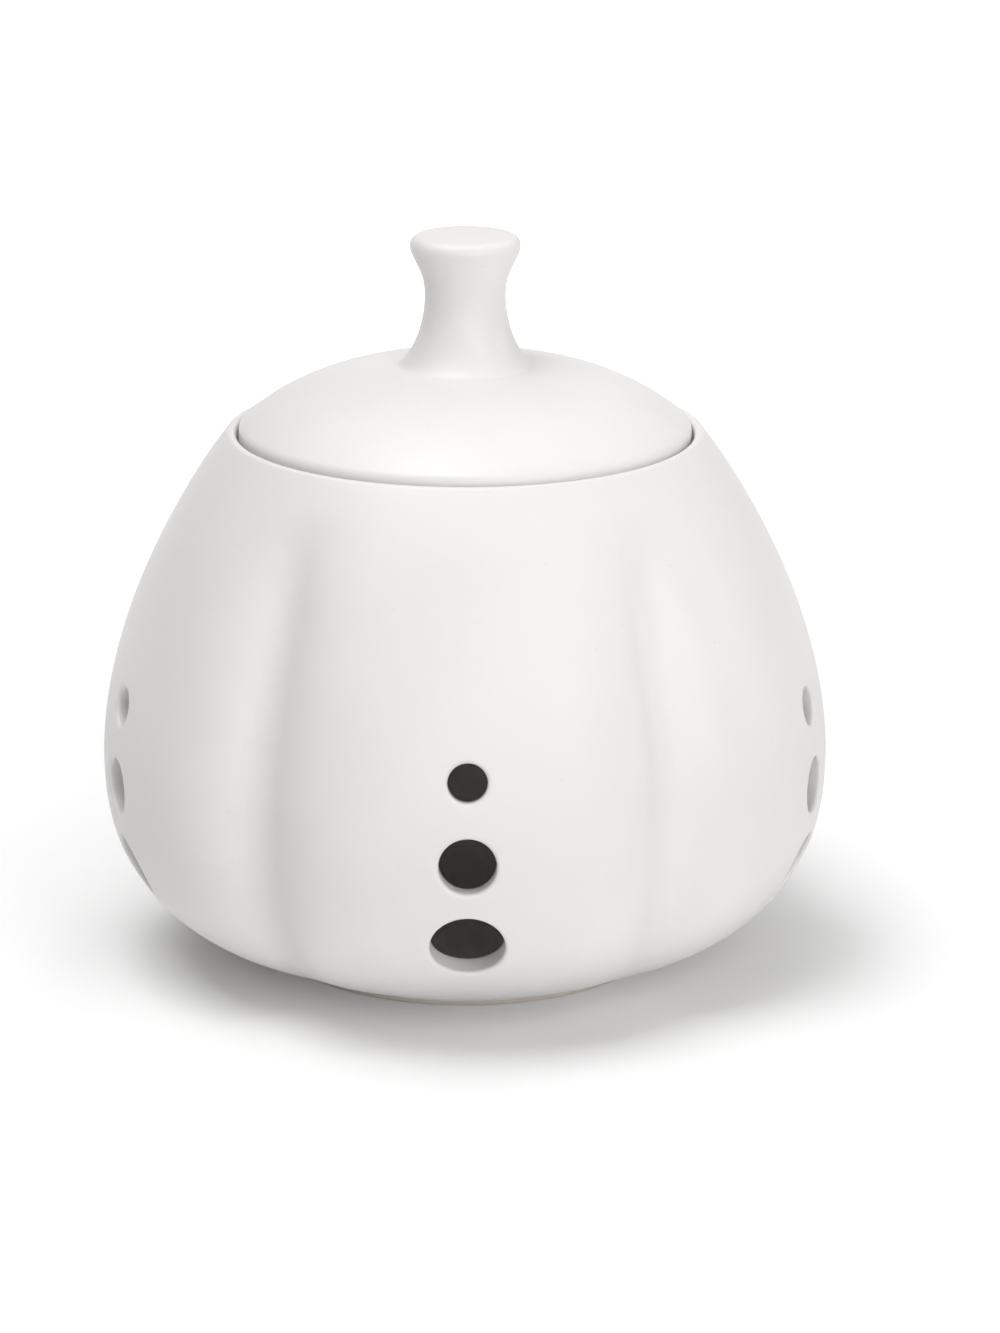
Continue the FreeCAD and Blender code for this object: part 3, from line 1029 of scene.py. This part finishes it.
@dataclass
class Pot:
    """The pot: its wall, vents, foot, lip, ledge and floor in one piece."""

    lobes: int = 5
    belly_radius: float = 70.0
    belly_height: float = 40.5
    wall: float = 4.2
    foot_height: float = 2.5
    foot_radius: float = 37.6
    foot_width: float = 5.0
    under_radius: float = 39.0
    floor_height: float = 7.0
    lip_height: float = 102.7
    lip_radius: float = 45.6
    lip_top: float = 103.135
    lip_crest_radius: float = 45.265
    mouth_radius: float = 43.6
    ledge_height: float = 100.2
    throat_radius: float = 38.4
    throat_height: float = 96.0
    neck_radius: float = 41.0
    neck_height: float = 94.3
    inner_top: float = 90.4
    recess_corner: float = 1.0
    foot_round: float = 0.6
    foot_corner: float = 0.7
    lip_round: float = 1.1
    mouth_round: float = 1.0
    seat_corner: float = 0.5
    ledge_round: float = 0.8
    neck_round: float = 1.0
    under_curve: tuple[float, float] = (2.41, 3.32)
    shoulder_curve: tuple[float, float] = (1.79, 1.40)
    groove_depth: float = 6.4
    groove_top: float = 98.0
    groove_rise: float = 4.3
    groove_fade: float = 1.6
    lobe_flatness: float = 5.4
    valley_share: float = 0.12
    vent_round: float = 0.8
    vents: tuple[Vent, ...] = (
        Vent("Lower", 6.9, 21.8, 12, 31.0),
        Vent("Middle", 5.3, 38.75, 10, 46.9),
        Vent("Upper", 3.65, 54.3, 10, 61.0),
    )
    window_bottom: float = 12.6
    window_angle: float = 0.142
    window_columns: int = 14
    columns: int = 44
    crowding: float = 1.3
    under_rows: int = 12
    shoulder_rows: int = 24
    floor_rows: int = 12
    neck_rows: int = 6

    def wall_values(self) -> dict[str, object]:
        """The wall's sizes.

        Returns:
            What the wall's named inputs get.
        """
        return {
            "Belly Radius": self.belly_radius * MM,
            "Belly Height": self.belly_height * MM,
            "Wall": self.wall * MM,
            "Foot Height": self.foot_height * MM,
            "Under Radius": self.under_radius * MM,
            "Under Along": self.under_curve[0],
            "Under Across": self.under_curve[1],
            "Lip Height": self.lip_height * MM,
            "Shoulder Radius": self.lip_radius * MM,
            "Shoulder Along": self.shoulder_curve[0],
            "Shoulder Across": self.shoulder_curve[1],
            "Lobes": self.lobes,
            "Groove Depth": self.groove_depth * MM,
            "Groove Top": self.groove_top * MM,
            "Groove Rise": self.groove_rise,
            "Groove Fade": self.groove_fade,
            "Lobe Flatness": self.lobe_flatness,
            "Valley Share": self.valley_share,
        }

    def pattern_values(self) -> dict[str, object]:
        """The wall's columns, rows and vents.

        Returns:
            What their named inputs get.
        """
        webs = dict(zip(("Lower Web", "Upper Web", "Window Top"), self.vents))
        values = {
            "Columns": self.columns,
            "Window Columns": self.window_columns,
            "Window Angle": self.window_angle,
            "Crowding": self.crowding,
            "Window Bottom": self.window_bottom * MM,
            "Top Height": self.lip_height * MM,
            "Inner Top": self.inner_top * MM,
            "Under Rows": self.under_rows,
            "Shoulder Rows": self.shoulder_rows,
            "Floor Rows": self.floor_rows,
            "Neck Rows": self.neck_rows,
            "Floor Height": self.floor_height * MM,
            "Neck Radius": self.neck_radius * MM,
            "Neck Height": self.neck_height * MM,
            "Vent Round": self.vent_round * MM,
        }
        for web, vent in webs.items():
            values[web] = vent.window_top * MM
            values[f"{vent.name} Rows"] = vent.rows
            values[f"{vent.name} Vent Radius"] = vent.radius * MM
            values[f"{vent.name} Vent Height"] = vent.height * MM
        return values

    def foot_line(self) -> list[ProfilePoint]:
        """The underside, from the middle out over the foot ring to the wall.

        Returns:
            The line's points.
        """
        band = Band.FOOT.value
        inside = self.foot_radius - self.foot_width
        return [
            ProfilePoint(0.0, self.foot_height, band=band),
            ProfilePoint(inside, self.foot_height, self.recess_corner, band=band),
            ProfilePoint(inside, 0.0, self.foot_round, 1.0, 1.0, band),
            ProfilePoint(self.foot_radius, 0.0, self.foot_round, 1.0, 1.0, band),
            ProfilePoint(self.foot_radius, self.foot_height, self.foot_corner, band=band),
            ProfilePoint(self.under_radius, self.foot_height, band=band),
        ]

    def mouth_line(self) -> list[ProfilePoint]:
        """The mouth, from the wall over the lip and the ledge down to the neck.

        Returns:
            The line's points.
        """
        band = Band.MOUTH.value
        return [
            ProfilePoint(self.lip_radius, self.lip_height, band=band),
            ProfilePoint(self.lip_crest_radius, self.lip_top, self.lip_round, 1.0, band=band),
            ProfilePoint(self.mouth_radius, self.lip_top, self.mouth_round, 1.0, band=band),
            ProfilePoint(self.mouth_radius, self.ledge_height, self.seat_corner, band=band),
            ProfilePoint(self.throat_radius, self.ledge_height, self.ledge_round, 0.6, band=band),
            ProfilePoint(self.throat_radius, self.throat_height, self.neck_round, band=band),
            ProfilePoint(self.neck_radius, self.neck_height, band=band),
        ]

    def build(self, trees: PotTrees, material: bpy.types.Material) -> bpy.types.Object:
        """Grow the pot.

        Args:
            trees: The Geometry Nodes trees.
            material: The finish that the mesh gets.

        Returns:
            The finished piece.
        """
        piece = profile_object("ceramic_pot", [self.foot_line(), self.mouth_line()])
        values = {**self.wall_values(), **self.pattern_values(), "Material": material}
        return grown(piece, trees.pot, values)


@dataclass
class Lid:
    """The lid: rim, crown, skirt and hollow knob in one piece."""

    radius: float = 43.1
    seat_height: float = 100.2
    edge: float = 4.1
    crown: float = 11.7
    crown_fullness: float = 3.0
    wall: float = 4.2
    skirt_outside: float = 37.9
    skirt_wall: float = 3.5
    skirt_depth: float = 5.0
    knob_height: float = 24.6
    knob_radius: float = 10.5
    knob_round: float = 1.9
    knob_cap: float = 5.0
    waist_radius: float = 7.7
    waist_height: float = 13.5
    knob_foot_radius: float = 13.0
    knob_foot_pull: float = 0.15
    lower_waist_pull: float = 0.67
    upper_waist_pull: float = 0.50
    knob_rim_pull: float = 0.25
    bore_radius: float = 3.2
    bore_round: float = 1.0
    crown_round: float = 2.0
    skirt_round: float = 1.2
    skirt_corner: float = 0.4
    seat_round: float = 0.8
    edge_round: float = 1.8
    columns: int = 160

    def crown_height(self, r: float) -> float:
        """Height of the lid's outside, r from the middle."""
        rise = self.crown * (1 - (r / self.radius) ** self.crown_fullness)
        return self.seat_height + self.edge + rise

    def crown_points(self, start: float, end: float, drop: float) -> list[ProfilePoint]:
        """Points along the crown between two radii, without its ends.

        Args:
            start: The first radius.
            end: The last radius.
            drop: How far the line lies under the outside.

        Returns:
            The points in order.
        """
        count = max(2, round(abs(end - start) / PROFILE_STEP))
        radii = [start + (end - start) * k / count for k in range(1, count)]
        return [ProfilePoint(r, self.crown_height(r) - drop) for r in radii]

    def underside(self) -> list[ProfilePoint]:
        """From the end of the knob's bore out and down over the skirt to the seat.

        Returns:
            The line's points.
        """
        inside = self.skirt_outside - self.skirt_wall
        bottom = self.seat_height - self.skirt_depth
        bore_end = self.crown_height(0) + self.knob_height - self.knob_cap
        bore_mouth = self.crown_height(self.bore_radius) - self.wall
        return [
            ProfilePoint(0.0, bore_end),
            ProfilePoint(self.bore_radius, bore_end, self.bore_radius * FULL_ROUND),
            ProfilePoint(self.bore_radius, bore_mouth, self.bore_round, 0.5),
            *self.crown_points(self.bore_radius, inside, self.wall)[1:-1],
            ProfilePoint(inside, self.crown_height(inside) - self.wall, self.crown_round),
            ProfilePoint(inside, bottom, self.skirt_round, 0.7),
            ProfilePoint(self.skirt_outside, bottom, self.skirt_round, 0.7),
            ProfilePoint(self.skirt_outside, self.seat_height, self.skirt_corner, bare=1.0),
            ProfilePoint(self.radius, self.seat_height, self.seat_round, 1.0, 1.0),
        ]

    def outside(self) -> list[ProfilePoint]:
        """From the rim over the crown to the knob's foot.

        Returns:
            The line's points.
        """
        start = self.radius - 2 * PROFILE_STEP
        return [
            ProfilePoint(self.radius, self.crown_height(self.radius), self.edge_round, 0.8),
            *self.crown_points(start, self.knob_foot_radius, 0.0),
        ]

    def knob(self) -> list[ProfilePoint]:
        """From the knob's foot through its waist to the middle of its top.

        Returns:
            The line's points.
        """
        base = self.crown_height(0)
        foot = Vector((self.knob_foot_radius, self.crown_height(self.knob_foot_radius)))
        waist = Vector((self.waist_radius, base + self.waist_height))
        top = base + self.knob_height
        rim = Vector((self.knob_radius, top - self.knob_round))
        inwards = foot.x - (foot.x - waist.x) * self.knob_foot_pull
        foot_pull = Vector((inwards, self.crown_height(inwards)))
        below = Vector((0.0, self.waist_height * self.lower_waist_pull))
        above = Vector((0.0, (rim.y - waist.y) * self.upper_waist_pull))
        under_rim = Vector((0.0, (rim.y - waist.y) * self.knob_rim_pull))
        points = bezier_points((foot, foot_pull, waist - below, waist), LOWER_KNOB_STEPS)
        points += bezier_points((waist, waist + above, rim - under_rim, rim), UPPER_KNOB_STEPS)[1:]
        return [
            *[ProfilePoint(p.x, p.y) for p in points],
            ProfilePoint(self.knob_radius, top, self.knob_round * FULL_ROUND, 0.6),
            ProfilePoint(0.0, top),
        ]

    def build(self, trees: PotTrees, material: bpy.types.Material) -> bpy.types.Object:
        """Turn the lid from its line.

        Args:
            trees: The Geometry Nodes trees.
            material: The finish that the mesh gets.

        Returns:
            The finished piece.
        """
        line = [*self.underside(), *self.outside(), *self.knob()]
        piece = profile_object("ceramic_lid", [line])
        return grown(piece, trees.lid, {"Columns": self.columns, "Material": material})


def bezier_points(poles: tuple[Vector, ...], steps: int) -> list[Vector]:
    """Points along a cubic bend.

    Args:
        poles: Its start, its two pulls and its end.
        steps: How many spans it is cut into.

    Returns:
        The points, with both ends.
    """
    a, b, c, d = poles
    points = []
    for k in range(steps + 1):
        t = k / steps
        s = 1 - t
        points.append(a * s**3 + b * 3 * s * s * t + c * 3 * s * t * t + d * t**3)
    return points


@dataclass(frozen=True)
class Softbox:
    """A square area lamp that faces the pot, placed by its turn to the right and its rise."""

    name: str
    turn: float
    rise: float
    power: float
    distance: float = 1.6
    side: float = 0.9

    def build(self, target: Vector) -> bpy.types.Object:
        """Hang the lamp.

        Args:
            target: The point that it faces.

        Returns:
            The lamp.
        """
        lamp = bpy.data.lights.new(self.name, "AREA")
        lamp.shape = "SQUARE"
        lamp.size = self.side
        lamp.energy = self.power
        holder = bpy.data.objects.new(self.name, lamp)
        turn, rise = math.radians(self.turn), math.radians(self.rise)
        level = math.cos(rise)
        way = Vector((level * math.sin(turn), -level * math.cos(turn), math.sin(rise)))
        holder.location = target + way * self.distance
        holder.rotation_euler = way.to_track_quat("Z", "Y").to_euler()
        holder.visible_camera = False
        bpy.context.scene.collection.objects.link(holder)
        return holder


@dataclass
class Studio:
    """The floor, the soft light and the camera."""

    lamps: tuple[Softbox, ...] = (
        Softbox("top softbox", 0.0, 88.0, 5.1),
        Softbox("upper left softbox", -60.0, 72.0, 11.4),
        Softbox("front softbox", 0.0, 12.0, 5.5),
        Softbox("low right softbox", 35.0, 12.0, 4.6),
        Softbox("front right softbox", 35.0, 32.0, 4.4),
        Softbox("right softbox", 95.0, 12.0, 3.2),
        Softbox("back left softbox", -135.0, 56.0, 3.5),
        Softbox("back right softbox", 135.0, 56.0, 2.8),
    )
    ambient: float = 0.0
    floor_side: float = 12.0
    floor_colour: Colour = (0.93, 0.93, 0.93)
    shade_edge: tuple[float, float] = (0.05, 0.14)
    backdrop_edge: tuple[float, float] = (0.22, 0.6)
    # Glow near the pot's foot, lower than the rest of the floor's: painted shade around the pot
    painted_shade_foot_glow: float = 0.06
    floor_glow: float = 0.25
    camera_distance: float = 0.91106
    camera_rise: float = 16.49
    camera_turn: float = -0.37
    camera_roll: float = 0.14
    camera_lens: float = 127.38
    camera_sensor: float = 36.0
    target: Vector = Vector((0.0, 0.0, 0.060))
    aim: Vector = Vector((0.00672, -0.00115, 0.0561))

    def build_camera(self) -> bpy.types.Object:
        """Place the camera where the photograph was taken from.

        Returns:
            The camera.
        """
        camera = bpy.data.cameras.new("camera")
        camera.sensor_width = self.camera_sensor
        camera.lens = self.camera_lens
        holder = bpy.data.objects.new("camera", camera)
        rise = math.radians(self.camera_rise)
        turn = Quaternion((0.0, 0.0, 1.0), math.radians(self.camera_turn))
        back = Vector((0.0, -math.cos(rise), math.sin(rise))) * self.camera_distance
        place = turn @ (back + self.target)
        look = (turn @ self.aim) - place
        roll = Quaternion((0.0, 0.0, 1.0), math.radians(self.camera_roll))
        holder.location = place
        holder.rotation_euler = (look.to_track_quat("-Z", "Y") @ roll).to_euler()
        bpy.context.scene.collection.objects.link(holder)
        bpy.context.scene.camera = holder
        return holder

    def build_world(self) -> None:
        """Make the backdrop plain white where the camera looks past the floor."""
        world = bpy.data.worlds.new("studio")
        world.use_nodes = True
        bench = Bench(world.node_tree)
        background = world.node_tree.nodes["Background"]
        background.inputs["Color"].default_value = (1.0, 1.0, 1.0, 1.0)
        strength = bench.mix(self.ambient, 1.0, self.backdrop_rays(bench))
        bench.feed(background.inputs["Strength"], strength)
        bpy.context.scene.world = world

    def backdrop_rays(self, bench: Bench) -> Value:
        """Which rays see the backdrop: the camera's, and those in gloss and glass.

        Args:
            bench: The tree to add the nodes to.

        Returns:
            1 for those rays and 0 for the others.
        """
        path = bench.node("ShaderNodeLightPath")
        names = ("Is Camera Ray", "Is Glossy Ray", "Is Transmission Ray")
        camera, gloss, glass = (Value(bench, path.outputs[name]) for name in names)
        return bench.math("MAXIMUM", camera, bench.math("MAXIMUM", gloss, glass))

    def build_floor(self) -> bpy.types.Object:
        """Lay a wide white floor that keeps the pot's soft shadow, with its glow dimmed near the
        foot as painted shade.

        Returns:
            The floor.
        """
        mesh = bpy.data.meshes.new("floor")
        half = self.floor_side / 2
        corners = [(-half, -half, 0.0), (half, -half, 0.0), (half, half, 0.0), (-half, half, 0.0)]
        mesh.from_pydata(corners, [], [(0, 1, 2, 3)])
        floor = bpy.data.objects.new("floor", mesh)
        bpy.context.scene.collection.objects.link(floor)
        material = bpy.data.materials.new("white floor")
        material.use_nodes = True
        bench = Bench(material.node_tree)
        shader = material.node_tree.nodes["Principled BSDF"]
        shader.inputs["Base Color"].default_value = (*self.floor_colour, 1.0)
        shader.inputs["Roughness"].default_value = 1.0
        shader.inputs["Specular IOR Level"].default_value = 0.0
        shader.inputs["Emission Color"].default_value = (1.0, 1.0, 1.0, 1.0)
        place = Value(bench, bench.node("ShaderNodeTexCoord").outputs["Object"])
        distance = bench.vector_math("LENGTH", place)
        # The glow is dimmer near the foot, so the floor around the pot reads darker: painted shade
        # over its real shadow
        glow = bench.mix(self.painted_shade_foot_glow, self.floor_glow, bench.smooth(distance, *self.shade_edge))
        glow = bench.mix(glow, 1.0, bench.smooth(distance, *self.backdrop_edge))
        glow = glow * self.backdrop_rays(bench)
        bench.feed(shader.inputs["Emission Strength"], glow)
        mesh.materials.append(material)
        return floor

    def build(self) -> None:
        """Set up the whole studio."""
        self.build_camera()
        self.build_world()
        self.build_floor()
        for lamp in self.lamps:
            lamp.build(self.target)
        bpy.context.scene.view_settings.view_transform = "Standard"


def dress(piece: bpy.types.Object, node: str, body: str) -> None:
    """Put a finished piece in place of its CAD node and report it.

    Args:
        piece: The finished piece.
        node: The CAD node that it stands for.
        body: The body that it rides on.
    """
    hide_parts(node)
    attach(piece, body)
    log.info("%s: %d faces for %s", piece.name, len(piece.data.polygons), node)


def main() -> None:
    """Build every piece and report it."""
    logging.basicConfig(level=logging.INFO, format="%(message)s")
    Studio().build()
    trees = PotTrees()
    glaze = GlazeTrees()
    pot_finish = CeramicFinish("pot glaze")
    lid_finish = CeramicFinish("lid glaze", (0.31, -0.17, 0.05), cloud_size=16.0)
    pot = Pot().build(trees, pot_finish.material(glaze))
    dress(pot, "pot", "pot")
    lid = Lid().build(trees, lid_finish.material(glaze))
    dress(lid, "lid", "lid")


if __name__ == "__main__":
    main()
